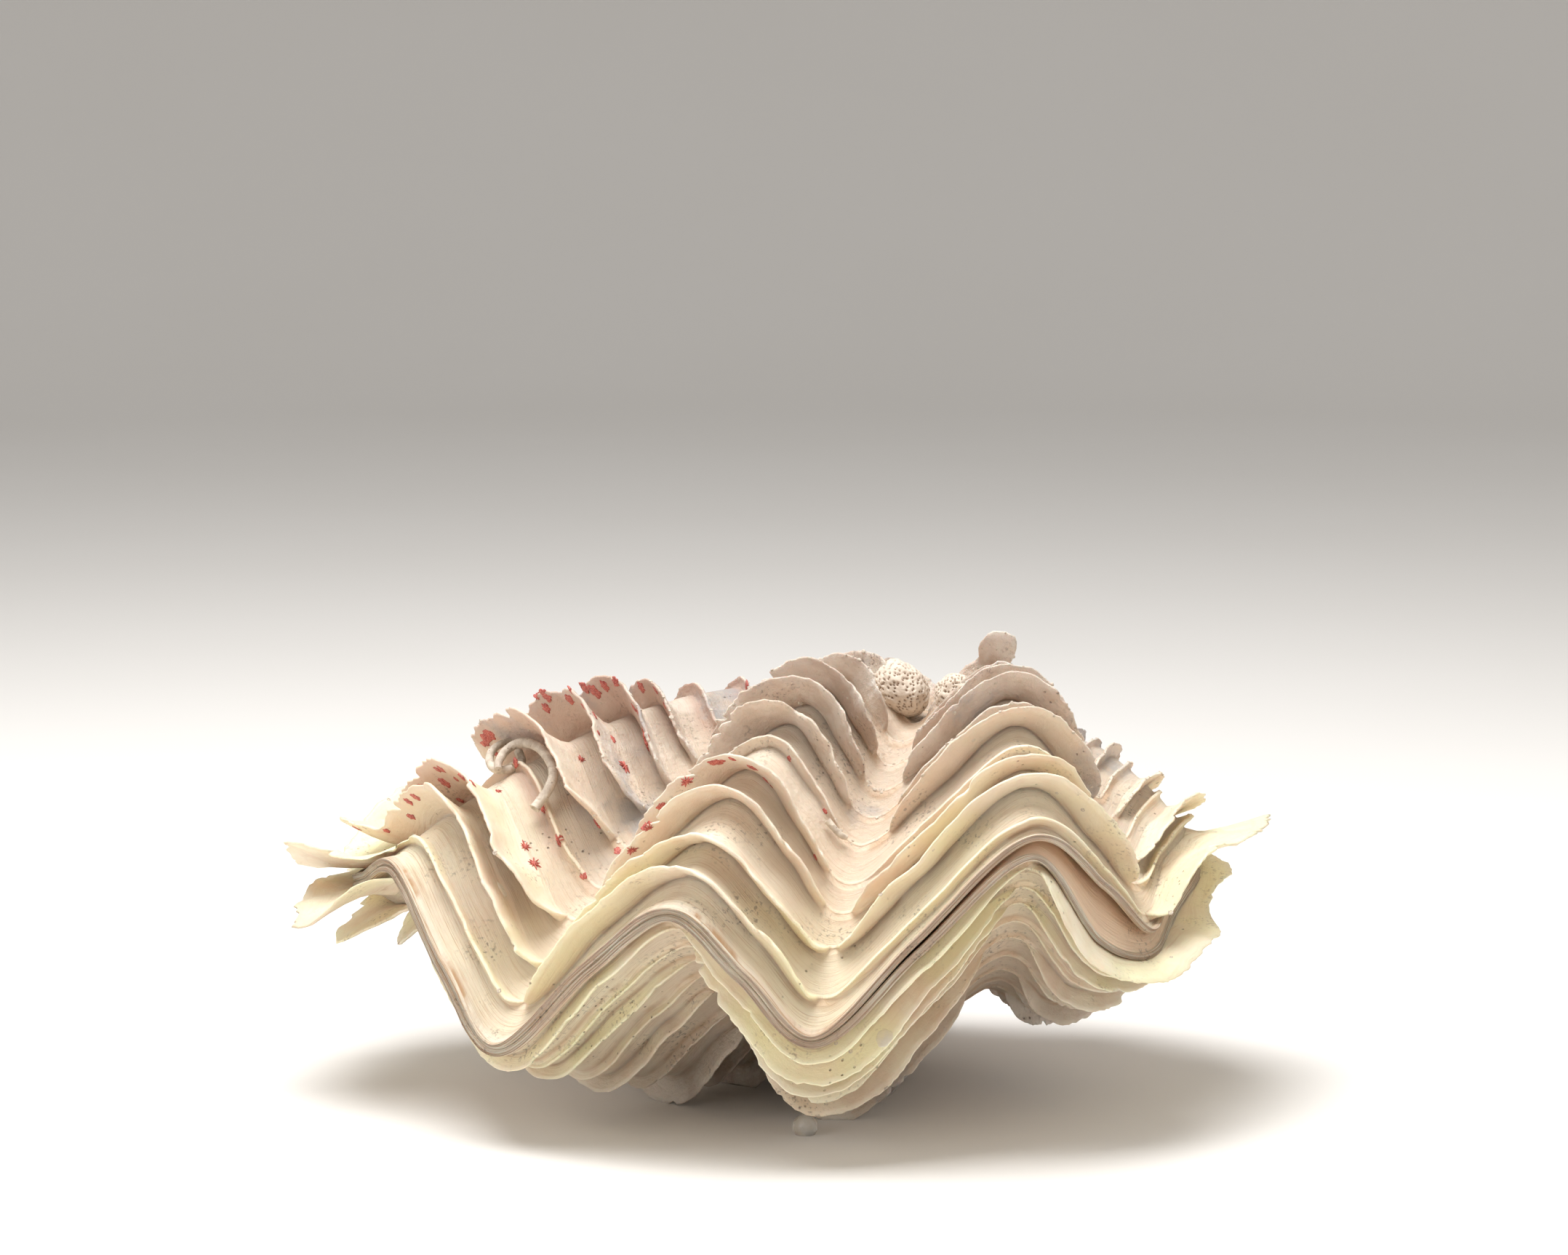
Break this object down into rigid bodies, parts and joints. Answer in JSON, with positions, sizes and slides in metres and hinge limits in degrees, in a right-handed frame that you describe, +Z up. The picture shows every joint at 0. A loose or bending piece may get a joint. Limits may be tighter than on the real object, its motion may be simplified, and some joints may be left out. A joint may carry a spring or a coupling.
{
  "type": "seashell",
  "caption": "Closed giant clam shell: two thick, deeply folded valves with leaf-like frills, lying on the lower valve, with worm tubes and coral crust grown on it.",
  "frame": {"origin": "centre of the floor rectangle under the shell's bounding box, on the surface the shell rests on", "axes": "+Z up, +X along the straight hinge towards the end with the beaks, -Y towards the wavy open edge that faces the viewer"},
  "size_m": [0.2782, 0.1808, 0.1293],
  "materials": {
    "shell_upper": "dry chalky shell with silky pale yellow frill lips",
    "shell_lower": "dry chalky shell with silky pale yellow frill lips",
    "ligament": "dry horny band, dull",
    "worm_tube": "rough chalky tube with growth rings",
    "coral": "rough pitted crust",
    "clear_bead": "milky clear bead"
  },
  "bodies": {
    "root": {"valve_upper": "shell_upper", "valve_lower": "shell_lower", "hinge_ligament": "ligament", "worm_tube": "worm_tube", "worm_tube_small": "worm_tube", "coral_crust": "coral", "coral_crust_small": "coral", "rest_bead": "clear_bead"}
  },
  "joints": []
}
